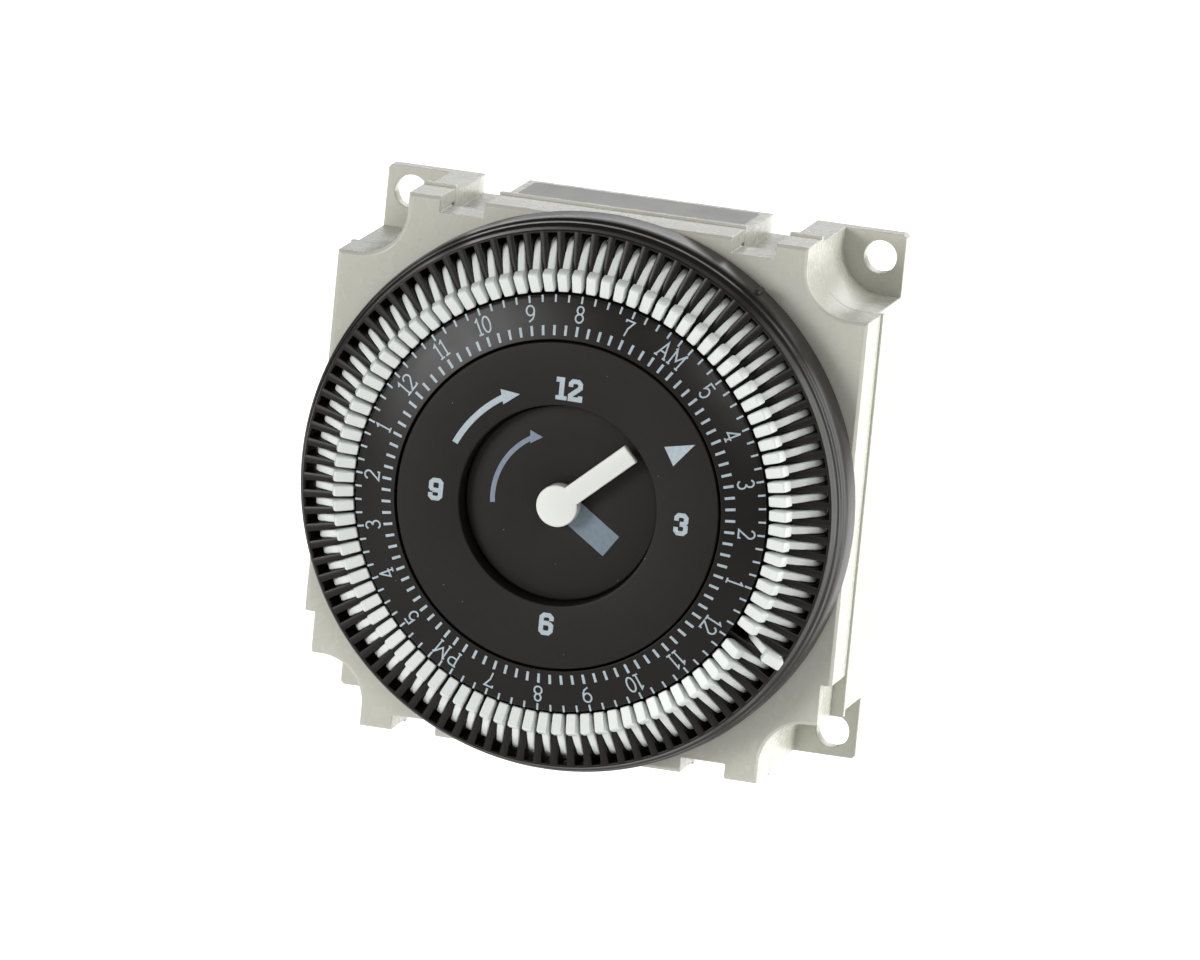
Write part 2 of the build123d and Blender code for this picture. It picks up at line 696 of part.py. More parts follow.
with BuildPart() as dial:
    with BuildSketch(section):
        with BuildLine():
            Polyline(
                (hub_bore, dial_back - 0.1),
                (hub_bore, web_top),
                (face_inner, web_top),
                (face_inner, face_top + lip_rise),
                (face_inner + 1.1, face_height(face_inner + 1.1)),
                (slot_inner, face_edge),
                (slot_inner, rim_top + rib_slope),
                (slot_outer, rim_top),
                (rim_radius, rim_top),
                (rim_radius + 0.25 * rim_flare, rim_top - 1.4),
                (rim_radius + 0.55 * rim_flare, rim_top - 1.8),
                (rim_radius + 0.6 * rim_flare, rim_top - 2.6),
                (rim_radius + 0.85 * rim_flare, rim_top - 3.0),
                (dial_radius, dial_back + dial_shoulder_rise),
                (dial_radius, dial_back),
                (rim_wall_radius, dial_back),
                (rim_wall_radius, rib_bottom),
                (slot_inner - slot_wall, rib_bottom),
                (slot_inner - slot_wall, face_height(slot_inner - slot_wall) - face_thickness),
                (face_inner + inner_wall, face_height(face_inner + inner_wall) - face_thickness),
                (face_inner + inner_wall, web_top),
                (ring_outer, web_top),
                (ring_outer, dial_back + 0.3),
                (ring_tip, dial_back + 0.3),
                (ring_tip, web_bottom),
                (hub_outer, web_bottom),
                (hub_outer, dial_back - 0.1),
                close=True,
            )
        make_face()
    revolve(axis=Axis.Y)
    with BuildSketch(front.offset(dial_back)):
        ring_spaces(ring_teeth, train_module, ring_phase)
        Circle(ring_tip - 1, mode=Mode.SUBTRACT)
    extrude(amount=ring_gear_top - dial_back, mode=Mode.SUBTRACT)
    # one slot for each tripper
    first_slot = 90 - (midnight_bearing - tripper_pitch / 2)
    with BuildSketch(front.offset(rib_bottom - groove_lead)):
        with PolarLocations((slot_inner + slot_outer) / 2, tripper_count, start_angle=first_slot):
            Rectangle(slot_length, slot_width)
    extrude(amount=face_edge - rib_bottom, mode=Mode.SUBTRACT)
    # groove across all the ribs, which the tripper wire snaps into from behind
    with BuildSketch(front.offset(rib_bottom - groove_lead)):
        Circle(pivot_radius + wire_radius + running_fit)
        Circle(pivot_radius - wire_radius - running_fit, mode=Mode.SUBTRACT)
    extrude(amount=pivot_height + wire_radius + running_fit - rib_bottom + groove_lead,
            mode=Mode.SUBTRACT)
    # small raised mark on the rim
    with BuildSketch(front.offset(dial_back + dial_shoulder_rise - rim_mark_length)):
        with Locations(polar(dial_radius, rim_mark_bearing)):
            Circle(rim_mark_radius)
    extrude(amount=rim_mark_length)

with BuildPart() as tripper_wire:
    with BuildSketch(section):
        with Locations((pivot_radius, pivot_height)):
            Circle(wire_radius)
    revolve(axis=Axis.Y)

# ---- trippers ------------------------------------------------------------------------------------------


def tripper_solid(tilt):
    # a rocker straight above the axis: a head on two sloping flanks, a tail, and the pivot hole
    plane = Plane(origin=(0, -pivot_height, pivot_radius), z_dir=(1, 0, 0),
                  x_dir=(0, -sin(radians(tilt)), cos(radians(tilt))))
    with BuildPart() as rocker:
        with BuildSketch(plane):
            Polygon((-neck_half, head_bottom), (neck_half, head_bottom),
                    (flank_half_width, flank_low), (flank_half_width - flank_taper, flank_foot),
                    (tail_half_width, 2 * flank_foot), (tail_half_width, -tail_length),
                    (-tail_half_width, -tail_length), (-tail_half_width, 2 * flank_foot),
                    (-flank_half_width + flank_taper, flank_foot), (-flank_half_width, flank_low), align=None)
            Circle(wire_radius + running_fit, mode=Mode.SUBTRACT)
        extrude(amount=tripper_thickness / 2, both=True)
        with BuildSketch(plane):
            Polygon((-neck_half, head_bottom), (neck_half, head_bottom),
                    (head_half_length, head_bottom + head_flare),
                    (head_half_length, head_top - head_chamfer),
                    (head_half_length - head_chamfer, head_top),
                    (head_chamfer - head_half_length, head_top),
                    (-head_half_length, head_top - head_chamfer),
                    (-head_half_length, head_bottom + head_flare), align=None)
        extrude(amount=head_width / 2, both=True)
    return rocker.part


off_tripper = tripper_solid(tripper_swing / 2)
on_tripper = tripper_solid(-tripper_swing / 2)
per_hour = tripper_count // 24
hour_trippers = []
for hour in range(24):
    bearing = midnight_bearing - tripper_pitch * (per_hour * hour + 0.5)
    with BuildPart() as rocker:
        add((on_tripper if hour == 0 else off_tripper).rotate(Axis.Y, bearing))
    hour_trippers.append(rocker)

with BuildPart() as tripper_set:
    for quarter in range(tripper_count):
        if quarter % per_hour:
            bearing = midnight_bearing - tripper_pitch * (quarter + 0.5)
            add(off_tripper.rotate(Axis.Y, bearing))

# ---- centre plate ----------------------------------------------------------------------------------------
with BuildPart() as centre_plate:
    with BuildSketch(section):
        with BuildLine():
            Polyline((plate_bore, tower_top), (centre_recess_radius + plate_inner_wall, tower_top),
                     (centre_recess_radius + plate_inner_wall, face_top - plate_wall),
                     (centre_plate_radius - plate_wall, face_top - plate_wall),
                     (centre_plate_radius - plate_wall, web_top + 2 * seat_gap),
                     (centre_plate_radius, web_top + 2 * seat_gap), (centre_plate_radius, face_top),
                     (centre_recess_radius, face_top), (centre_recess_radius, floor_top),
                     (plate_bore, floor_top), close=True)
        make_face()
    revolve(axis=Axis.Y)
    with BuildSketch(front.offset(tower_top)):
        with PolarLocations(peg_circle, peg_count, start_angle=90):
            Circle(peg_radius)
    extrude(amount=-tower_wall + 2 * press_gap)

# ---- minute hand -----------------------------------------------------------------------------------------
hand_plane = Plane(origin=(0, -hand_top + hand_thickness, 0), z_dir=(0, -1, 0),
                   x_dir=(sin(radians(minute_bearing)), 0, cos(radians(minute_bearing))))
with BuildPart() as minute_hand:
    with BuildSketch(hand_plane):
        with Locations((hand_length / 2, 0)):
            Rectangle(hand_length, hand_width)
        Circle(hand_hub_radius)
    extrude(amount=hand_thickness)
    with BuildSketch(front.offset(disc_top + seat_gap)):
        Circle(hand_hub_radius)
    extrude(amount=hand_top - disc_top - seat_gap)
    with BuildSketch(front.offset(disc_top + seat_gap)):
        Circle(arbor_radius + press_gap)
    extrude(amount=hand_top - hand_thickness / 2 + press_gap - disc_top - seat_gap, mode=Mode.SUBTRACT)

# ---- switch, plunger, lever and pin ------------------------------------------------------------------------
with BuildPart() as switch_body:
    with BuildSketch(lever_plane(plate_top)):
        with Locations((lever_length / 2, switch_face - switch_width / 2)):
            Rectangle(switch_length, switch_width)
    extrude(amount=switch_height)
    chamfer(switch_body.edges().filter_by(Axis.Y), edge_break)
    with BuildSketch(lever_plane(plunger_height - plunger_width / 2 - running_fit)):
        with Locations((plunger_offset, switch_face - (plunger_depth + plunger_travel) / 2)):
            Rectangle(plunger_width + 2 * running_fit, plunger_depth + plunger_travel + 4 * running_fit)
    extrude(amount=plunger_width + 2 * running_fit, mode=Mode.SUBTRACT)

with BuildPart() as switch_plunger:
    with BuildSketch(lever_plane(plunger_height - plunger_width / 2)):
        with Locations((plunger_offset, switch_face + (plunger_reach - plunger_depth) / 2)):
            Rectangle(plunger_width, plunger_reach + plunger_depth)
    extrude(amount=plunger_width)

with BuildPart() as switch_lever:
    with BuildSketch(lever_plane(lever_bottom)):
        Circle(lever_width / 2 + lever_eye)
        with Locations((lever_length / 2, 0)):
            Rectangle(lever_length + nose_width, lever_width)
        Circle(lever_pin_radius + arbor_fit, mode=Mode.SUBTRACT)
    extrude(amount=lever_top - lever_bottom)
    with BuildSketch(lever_plane(lever_bottom)):
        with Locations((lever_length, 0)):
            Rectangle(nose_width, nose_depth)
    extrude(amount=nose_top - lever_bottom)

with BuildPart() as lever_pin:
    with BuildSketch(lever_plane(plate_bottom)):
        Circle(lever_pin_radius)
    extrude(amount=stud_top - plate_bottom)
    with BuildSketch(lever_plane(plate_top)):
        Circle(2 * lever_pin_radius)
    extrude(amount=lever_bottom - plate_top - 3 * running_fit)

# ---- finished pieces ---------------------------------------------------------------------------------------
pieces = {
    "front_cover": front_cover,
    "rear_case": rear_case,
    "rating_label": rating_label,
    "terminal_tabs": terminal_tabs,
    "movement_plate": movement_plate,
    "plate_screws": plate_screws,
    "motor_case": motor_case,
    "motor_coil": motor_coil,
    "motor_pinion": motor_pinion,
    "minute_arbor": minute_arbor,
    "centre_wheel": centre_wheel,
    "clutch_spring": clutch_spring,
    "motion_stud": motion_stud,
    "motion_wheel": motion_wheel,
    "hour_wheel": hour_wheel,
    "hour_disc": hour_disc,
    "dial_drive_pinion": dial_drive_pinion,
    "dial": dial,
    "tripper_wire": tripper_wire,
    "tripper_set": tripper_set,
    "centre_plate": centre_plate,
    "minute_hand": minute_hand,
    "switch_body": switch_body,
    "switch_plunger": switch_plunger,
    "switch_lever": switch_lever,
    "lever_pin": lever_pin,
}
for hour, rocker in enumerate(hour_trippers):
    pieces[f"tripper_{hour:02d}"] = rocker

for name, piece in pieces.items():
    piece.part.label = name
    export_step(piece.part, f"parts/{name}.step")
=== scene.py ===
import json
import math
import bmesh
import bpy
import numpy as np
from mathutils import Matrix


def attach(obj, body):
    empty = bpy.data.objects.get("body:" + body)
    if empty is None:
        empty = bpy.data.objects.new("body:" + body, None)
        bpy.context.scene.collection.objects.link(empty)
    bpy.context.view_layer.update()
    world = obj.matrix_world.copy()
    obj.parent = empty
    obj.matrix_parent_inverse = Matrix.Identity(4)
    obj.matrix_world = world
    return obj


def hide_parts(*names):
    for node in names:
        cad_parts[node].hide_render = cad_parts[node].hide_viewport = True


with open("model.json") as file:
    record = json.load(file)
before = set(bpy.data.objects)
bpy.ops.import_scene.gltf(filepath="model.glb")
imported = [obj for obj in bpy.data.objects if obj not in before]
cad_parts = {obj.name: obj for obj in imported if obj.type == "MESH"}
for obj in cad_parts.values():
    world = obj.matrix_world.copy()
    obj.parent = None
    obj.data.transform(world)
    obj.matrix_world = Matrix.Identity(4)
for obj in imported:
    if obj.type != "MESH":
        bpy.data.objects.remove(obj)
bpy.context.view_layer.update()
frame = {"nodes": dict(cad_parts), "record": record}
nodes = frame["nodes"]
print("frame loaded with", len(nodes), "nodes")

# Sizes below are in millimetres. Heights are measured forwards from the mounting plane, and
# bearings are degrees clockwise from straight up, seen from the front.
millimetre = 0.001

# ---- camera, light and floor
view = {
    "place": (0.4572, -1.9715, 0.4047), "aim": (0.0023, -0.0234, 0.0015),
    "roll": 5.534, "lens": 479.42, "sensor": 36.0,
}
forward = np.subtract(view["aim"], view["place"])
forward /= np.linalg.norm(forward)
level = np.cross(forward, (0, 0, 1))
level /= np.linalg.norm(level)
upright = np.cross(level, forward)
roll = math.radians(view["roll"])
right = math.cos(roll) * level + math.sin(roll) * upright
up = np.cross(right, forward)
camera = bpy.data.objects.new("camera", bpy.data.cameras.new("camera"))
bpy.context.collection.objects.link(camera)
camera.data.lens = view["lens"]
camera.data.sensor_width = view["sensor"]
camera.data.clip_start, camera.data.clip_end = 0.05, 50
turned = np.eye(4)
turned[:3, 0], turned[:3, 1], turned[:3, 2], turned[:3, 3] = right, up, -forward, view["place"]
camera.matrix_world = Matrix(turned.tolist())
bpy.context.scene.camera = camera
bpy.context.scene.view_settings.view_transform = "Standard"

studio = {
    "world": 0.15,
    "floorHeight": -0.45, "floorSize": 7.0,
    # name: (place, aim, width, height, watts)
    "lights": {
        "leftSoftbox": ((-1.2, -1.85, 0.45), (0, 0, 0), 0.8, 0.8, 27.0),
        "cameraSoftbox": ((0.75, -2.1, 0.75), (0, 0, 0), 0.5, 0.5, 8.5),
        "rightPanel": ((1.5, 0.6, 0.2), (0, 0, 0), 1.2, 1.4, 32.0),
        "topPanel": ((0.1, -0.2, 1.5), (0, 0, 0), 1.0, 0.8, 0.3),
        "backdropLight": ((0, 2.9, 1.1), (0, 2.9, -0.45), 4.5, 2.6, 120.0),
    },
}
world = bpy.data.worlds.new("studio")
bpy.context.scene.world = world
world.use_nodes = True
world.node_tree.nodes["Background"].inputs["Color"].default_value = (1, 1, 1, 1)
world.node_tree.nodes["Background"].inputs["Strength"].default_value = studio["world"]
for name, (place, aim, width, height, watts) in studio["lights"].items():
    lamp = bpy.data.lights.new(name, "AREA")
    lamp.shape, lamp.size, lamp.size_y, lamp.energy = "RECTANGLE", width, height, watts
    lit = bpy.data.objects.new(name, lamp)
    bpy.context.collection.objects.link(lit)
    away = np.subtract(place, aim)
    away = away / np.linalg.norm(away)
    side = np.cross((0, 1, 0) if abs(away[2]) > 0.99 else (0, 0, 1), away)
    side = side / np.linalg.norm(side)
    turned = np.eye(4)
    turned[:3, 0], turned[:3, 1], turned[:3, 2], turned[:3, 3] = side, np.cross(away, side), away, place
    lit.matrix_world = Matrix(turned.tolist())
print("camera and lights placed")


# ---- materials
class Value:
    # one socket of a material's nodes: arithmetic on it adds Math nodes
    def __init__(self, tree, socket=None):
        self.tree = tree
        self.socket = socket

    def node(self, kind, settings={}, inputs={}, output=0):
        made = self.tree.nodes.new(kind)
        for key, setting in settings.items():
            setattr(made, key, setting)
        for key, given in inputs.items():
            if isinstance(given, Value):
                self.tree.links.new(given.socket, made.inputs[key])
            else:
                made.inputs[key].default_value = given
        return Value(self.tree, made.outputs[output])

    def maths(self, operation, *others):
        return self.node("ShaderNodeMath", {"operation": operation}, dict(enumerate((self,) + others)))

    def __add__(self, other):
        return self.maths("ADD", other)

    def __sub__(self, other):
        return self.maths("SUBTRACT", other)

    def __mul__(self, other):
        return self.maths("MULTIPLY", other)

    def __lt__(self, other):
        return self.maths("LESS_THAN", other)

    __radd__ = __add__
    __rmul__ = __mul__

    def noise(self, size, detail=3.0, roughness=0.5):
        # cloudy pattern whose features are about that many millimetres across
        return self.node("ShaderNodeTexNoise", {}, {
            "Vector": self.place(), "Scale": 1 / (size * millimetre),
            "Detail": detail, "Roughness": roughness}, "Fac")

    def place(self):
        return self.node("ShaderNodeTexCoord", {}, {}, "Object")

    def blend(self, low, high):
        # colour between low and high, by this value
        return self.node("ShaderNodeMix", {"data_type": "RGBA"}, {0: self, 6: low, 7: high}, 2)

    def specks(self, spacing, share, radius):
        # sparse round specks: a share of the cells that size holds one
        cells = {"Vector": self.place(), "Scale": 1 / (spacing * millimetre)}
        near = self.node("ShaderNodeTexVoronoi", {}, cells, "Distance") < radius / spacing
        lot = self.node("ShaderNodeTexWhiteNoise", {}, {
            "Vector": self.node("ShaderNodeTexVoronoi", {}, cells, "Position")}, "Value")
        return near * (lot < share)


def shade(colour, factor):
    return tuple(min(1.0, part * factor) for part in colour) + (1.0,)


def material(name, look):
    # a moulded or metal finish: mottled colour, uneven gloss, fine grain, and specks where asked for
    made = bpy.data.materials.new(name)
    made.use_nodes = True
    tree = made.node_tree
    shader = tree.nodes["Principled BSDF"]
    start = Value(tree)
    tone = start.noise(look["patch"], 4.0)
    colour = tone.blend(shade(look["colour"], 1 - look["mottle"]), shade(look["colour"], 1 + look["mottle"]))
    grain = start.noise(look["grain"], 2.0, 0.6)
    if "specks" in look:
        spacing, share, radius, speckColour = look["specks"]
        colour = start.specks(spacing, share, radius).blend(colour, shade(speckColour, 1))
    if "winding" in look:
        rings = start.node("ShaderNodeTexWave", {"wave_type": "RINGS", "rings_direction": "Y"}, {
            "Vector": start.place(), "Scale": 1 / (look["winding"] * millimetre), "Distortion": 0.4}, "Fac")
        colour = rings.blend(shade(look["colour"], 0.45), colour)
        grain = rings
    tree.links.new(colour.socket, shader.inputs["Base Color"])
    uneven = look["roughness"] + look["swing"] * (start.noise(look["patch"] * 0.4, 3.0) - 0.5)
    tree.links.new(uneven.socket, shader.inputs["Roughness"])
    bump = start.node("ShaderNodeBump", {}, {"Strength": 1.0, "Distance": look["depth"] * millimetre,
                                             "Height": grain}, "Normal")
    tree.links.new(bump.socket, shader.inputs["Normal"])
    shader.inputs["Metallic"].default_value = look.get("metal", 0.0)
    shader.inputs["Coat Weight"].default_value = look.get("coat", 0.0)
    shader.inputs["Coat Roughness"].default_value = 0.1
    shader.inputs["IOR"].default_value = look.get("ior", 1.45)
    return made


plainGrain = {"mottle": 0.04, "patch": 6.0, "grain": 0.25, "depth": 0.002, "roughness": 0.4, "swing": 0.1}
finishes = {
    "housing_grey": {"colour": (0.56, 0.56, 0.49), "roughness": 0.27, "depth": 0.0015, "mottle": 0.03},
    "dial_black": {"colour": (0.0095, 0.0080, 0.0070), "roughness": 0.34, "ior": 1.33, "depth": 0.004,
                   "mottle": 0.12,
                   "specks": (1.3, 0.05, 0.05, (0.25, 0.24, 0.22))},
    "plate_black": {"colour": (0.0110, 0.0092, 0.0078), "roughness": 0.5, "ior": 1.33, "depth": 0.012,
                    "grain": 0.16,
                    "mottle": 0.15, "specks": (1.1, 0.06, 0.055, (0.28, 0.27, 0.25))},
    "disc_black": {"colour": (0.0110, 0.0092, 0.0078), "roughness": 0.42, "ior": 1.33, "depth": 0.004,
                   "mottle": 0.15,
                   "specks": (1.2, 0.07, 0.06, (0.28, 0.27, 0.25))},
    "tripper_white": {"colour": (0.80, 0.83, 0.80), "roughness": 0.3, "depth": 0.0015, "mottle": 0.03},
    "hand_white": {"colour": (0.78, 0.79, 0.75), "roughness": 0.35, "depth": 0.002, "mottle": 0.02},
    "print_pale": {"colour": (0.42, 0.49, 0.53), "roughness": 0.55, "depth": 0.006, "grain": 0.14,
                   "mottle": 0.22,
                   "patch": 0.5},
    "print_grey": {"colour": (0.17, 0.22, 0.26), "roughness": 0.5, "depth": 0.005, "grain": 0.14, "mottle": 0.2,
                   "patch": 0.7},
    "print_arrow": {"colour": (0.21, 0.25, 0.32), "roughness": 0.5, "depth": 0.005, "grain": 0.14,
                    "mottle": 0.2,
                    "patch": 0.6},
    "gear_plastic": {"colour": (0.75, 0.72, 0.62), "roughness": 0.45},
    "steel": {"colour": (0.55, 0.55, 0.56), "roughness": 0.32, "metal": 1.0, "grain": 0.08, "depth": 0.002},
    "brass": {"colour": (0.72, 0.50, 0.20), "roughness": 0.3, "metal": 1.0, "grain": 0.08, "depth": 0.002},
    "tinned_brass": {"colour": (0.70, 0.70, 0.67), "roughness": 0.28, "metal": 1.0, "grain": 0.1,
                     "depth": 0.003},
    "coil": {"colour": (0.45, 0.13, 0.04), "roughness": 0.35, "depth": 0.05, "winding": 1.2},
    "switch_black": {"colour": (0.02, 0.02, 0.022), "roughness": 0.45},
    "switch_red": {"colour": (0.45, 0.03, 0.02), "roughness": 0.35},
    "label": {"colour": (0.50, 0.50, 0.48), "roughness": 0.16, "depth": 0.004, "grain": 2.5, "mottle": 0.04,
              "coat": 0.6},
    "floor_white": {"colour": (0.93, 0.93, 0.92), "roughness": 0.8, "grain": 3.0, "patch": 300.0,
                    "mottle": 0.01, "depth": 0.02},
}
looks = {name: material(name, {**plainGrain, **look}) for name, look in finishes.items()}
slots = {part["node"]: part["material_slot"] for part in frame["record"]["subparts"]}
for name, node in nodes.items():
    node.data.materials.clear()
    node.data.materials.append(looks[slots[name]])
print("materials made:", len(looks))


# ---- surfaces
def gridFaces(rows, columns, closedRows=False, closedColumns=False):
    # quads between neighbouring points of a grid, wrapping round where it is closed
    row, column = np.meshgrid(np.arange(rows - (not closedRows)),
                              np.arange(columns - (not closedColumns)), indexing="ij")
    below, beside = (row + 1) % rows, (column + 1) % columns
    corners = (row * columns + column, below * columns + column,
               below * columns + beside, row * columns + beside)
    return np.stack(corners, -1).reshape(-1, 4).tolist()


def onDial(radius, bearing, height):
    # from radius, bearing and height to millimetres across, back and up
    angle = np.radians(bearing)
    radius, angle, height = np.broadcast_arrays(radius, angle, height)
    return np.stack([radius * np.sin(angle), -height, radius * np.cos(angle)], -1)


class Shape:
    # gathers surfaces, in millimetres, for one mesh
    def __init__(self):
        self.points = []
        self.faces = []
        self.count = 0

    def add(self, points, faces):
        points = np.asarray(points, float).reshape(-1, 3)
        self.points.append(points)
        self.faces += [[corner + self.count for corner in face] for face in faces]
        self.count += len(points)

    def copies(self, points, faces):
        # points has one row for each copy of the same surface
        for each in points:
            self.add(each, faces)

    def piece(self, name, look, body, slot, replaced=(), sharp=35.0):
        mesh = bpy.data.meshes.new(name)
        mesh.from_pydata((np.concatenate(self.points) * millimetre).tolist(), [], self.faces)
        made = bmesh.new()
        made.from_mesh(mesh)
        bmesh.ops.remove_doubles(made, verts=made.verts, dist=1e-7)
        bmesh.ops.recalc_face_normals(made, faces=made.faces)
        made.to_mesh(mesh)
        made.free()
        mesh.polygons.foreach_set("use_smooth", [True] * len(mesh.polygons))
        mesh.set_sharp_from_angle(angle=math.radians(sharp))
        mesh.materials.append(looks[look])
        thing = bpy.data.objects.new(name, mesh)
        bpy.context.collection.objects.link(thing)
        if body is None:
            return thing
        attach(thing, body)
        if replaced:
            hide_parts(*replaced)
        return thing


def roundCorners(outline, sizes, steps=5):
    # each corner of a closed outline becomes a parabola that starts and ends its size away from the corner
    corner = np.asarray(outline, float)
    sizes = np.broadcast_to(np.asarray(sizes, float), len(corner))[:, None]
    back, ahead = np.roll(corner, 1, 0) - corner, np.roll(corner, -1, 0) - corner
    backLength = np.linalg.norm(back, axis=1, keepdims=True)
    aheadLength = np.linalg.norm(ahead, axis=1, keepdims=True)
    start = corner + back / backLength * np.minimum(sizes, 0.45 * backLength)
    end = corner + ahead / aheadLength * np.minimum(sizes, 0.45 * aheadLength)
    t = np.linspace(0, 1, steps)[None, :, None]
    curve = (1 - t) ** 2 * start[:, None] + 2 * t * (1 - t) * corner[:, None] + t ** 2 * end[:, None]
    return curve.reshape(-1, 2)


def lathe(profile, segments=384):
    # a closed outline of (radius, height) carried once round the dial's axis
    profile = np.asarray(profile, float)
    bearing = np.arange(segments)[:, None] * 360 / segments
    return (onDial(profile[None, :, 0], bearing, profile[None, :, 1]),
            gridFaces(segments, len(profile), True, True))


def inset(outline, distance):
    # a closed outline moved inwards along its mitres; outlines run clockwise or not alike
    corner = np.asarray(outline, float)
    ahead = np.roll(corner, -1, 0) - corner
    ahead /= np.linalg.norm(ahead, axis=1, keepdims=True)
    area = np.sum(corner[:, 0] * np.roll(corner[:, 1], -1) - np.roll(corner[:, 0], -1) * corner[:, 1])
    normal = np.stack([-ahead[:, 1], ahead[:, 0]], 1) * np.sign(area)
    before = np.roll(normal, 1, 0)
    mitre = (normal + before) / (1 + np.sum(normal * before, 1, keepdims=True))
    return corner + mitre * distance


def prism(outline, low, high, edge, steps=3):
    # an outline carried from low to high, its rims rounded by a quarter circle of that edge size
    turn = np.linspace(0, math.pi / 2, steps)
    insets = edge * (1 - np.sin(turn))
    rises = edge * (1 - np.cos(turn))
    rings = [(low + rise, gap) for rise, gap in zip(rises, insets)]
    rings += [(high - rise, gap) for rise, gap in zip(rises[::-1], insets[::-1])]
    layers = [np.c_[inset(outline, gap), np.full(len(outline), level)] for level, gap in rings]
    count = len(outline)
    faces = gridFaces(len(layers), count, False, True)
    faces += [list(range(count))[::-1], list(range(count * (len(layers) - 1), count * len(layers)))]
    return np.array(layers).reshape(-1, 3), faces


def ribbon(path, width, closed=False):
    # the two edges of a stroke: the path's points moved half the width along their mitres
    path = np.asarray(path, float)
    ahead = np.roll(path, -1, 0) - path
    before = np.roll(ahead, 1, 0)
    if not closed:
        ahead[-1], before[0] = before[-1], ahead[0]
    ahead = ahead / np.linalg.norm(ahead, axis=1, keepdims=True)
    before = before / np.linalg.norm(before, axis=1, keepdims=True)
    first = np.stack([-before[:, 1], before[:, 0]], 1)
    second = np.stack([-ahead[:, 1], ahead[:, 0]], 1)
    mitre = (first + second) / (1 + np.sum(first * second, 1, keepdims=True))
    return path + mitre * width / 2, path - mitre * width / 2


def stroke(shape, path, width, place, closed=False, thick=0.03, sunk=0.03):
    # a thin raised strip along a path; place(flat points, lift) puts it on its surface
    left, rightSide = ribbon(path, width, closed)
    ring = np.stack([place(left, -sunk), place(left, thick),
                     place(rightSide, thick), place(rightSide, -sunk)], 1)
    count = len(ring)
    faces = gridFaces(count, 4, closed, True)
    if not closed:
        faces += [[0, 1, 2, 3], [4 * count - 1, 4 * count - 2, 4 * count - 3, 4 * count - 4]]
    shape.add(ring, faces)


def patch(shape, outline, place, thick=0.03, sunk=0.03):
    # a thin raised flat shape inside a convex outline
    outline = np.asarray(outline, float)
    count = len(outline)
    faces = gridFaces(2, count, False, True) + [list(range(count))[::-1], list(range(count, 2 * count))]
    shape.add(np.concatenate([place(outline, -sunk), place(outline, thick)]), faces)


# ---- dial
dialSize = {
    "pointer": 58.84, "hours": 4 + 8 / 60, "trippers": 96, "slotWidth": 1.15, "slotInner": 26.95,
    "slotOuter": 34.4, "hubBore": 9.05, "back": 23.4, "web": 31.0, "faceInner": 21.4, "faceTop": 36.0,
    "faceEdge": 34.5, "ribTop": (32.45, 31.5), "ribBottom": 26.6, "ribEdge": 0.16,
    "rimTop": 31.5, "radius": 36.0, "markBearing": 36.0,
}
midnight = dialSize["pointer"] + dialSize["hours"] * 15
pitch = 360 / dialSize["trippers"]


def faceHeight(radius):
    # the printed face falls away in a shallow cone
    share = (radius - dialSize["faceInner"]) / (dialSize["slotInner"] - dialSize["faceInner"])
    return dialSize["faceTop"] - (dialSize["faceTop"] - dialSize["faceEdge"]) * share


d = dialSize
bodyProfile = [
    (d["hubBore"], d["back"] - 0.1, 0.1), (d["hubBore"], d["web"], 0.1), (d["faceInner"], d["web"], 0.1),
    (d["faceInner"], d["faceTop"], 0.12),
    (d["slotInner"], d["faceEdge"], 0.35), (d["slotInner"], d["ribBottom"], 0.1),
    (25.75, d["ribBottom"], 0.1), (25.75, faceHeight(25.75) - 1.3, 0.2), (22.9, faceHeight(22.9) - 1.3, 0.2),
    (22.9, d["web"], 0.1), (23.83, d["web"], 0.1), (23.83, d["back"] + 0.3, 0.2), (22.3, d["back"] + 0.3, 0.2),
    (22.3, 29.6, 0.1), (10.5, 29.6, 0.1), (10.5, d["back"] - 0.1, 0.1)]
rimProfile = [
    (d["slotOuter"], d["rimTop"], 0.15), (34.75, d["rimTop"], 0.3), (35.08, 30.15, 0.25), (35.45, 29.75, 0.22),
    (35.52, 28.95, 0.25), (35.82, 28.5, 0.22), (36.0, 27.7, 0.4), (36.0, d["back"], 0.25),
    (35.0, d["back"], 0.25), (35.0, 30.2, 0.3), (d["slotOuter"], 30.9, 0.1)]
dial = Shape()
for profile in (bodyProfile, rimProfile):
    profile = np.array(profile)
    dial.add(*lathe(roundCorners(profile[:, :2], profile[:, 2])))

# a rib between two slots: a bar that widens outwards, with its upper edges rounded
along = np.linspace(d["slotInner"] - 0.4, d["slotOuter"] + 0.2, 6)
half = along * math.tan(math.radians(pitch / 2)) - d["slotWidth"] / 2 / math.cos(math.radians(pitch / 2))
top = np.interp(along, (d["slotInner"], d["slotOuter"]), d["ribTop"])
edge = d["ribEdge"]
across = np.stack([-half, -half, -half + 0.3 * edge, -half + edge,
                   half - edge, half - 0.3 * edge, half, half], 1)
level = np.stack([0 * top + d["ribBottom"], top - edge, top - 0.3 * edge, top, top, top - 0.3 * edge,
                  top - edge, 0 * top + d["ribBottom"]], 1)
bearings = midnight - pitch * np.arange(d["trippers"])
radial = np.broadcast_to(along[:, None], across.shape)
ribs = onDial(np.hypot(radial, across)[None],
              bearings[:, None, None] + np.degrees(np.arctan2(across, radial))[None],
              level[None])
ribFaces = gridFaces(len(along), 8, False, True) + [list(range(8)), list(range(40, 48))[::-1]]
dial.copies(ribs, ribFaces)

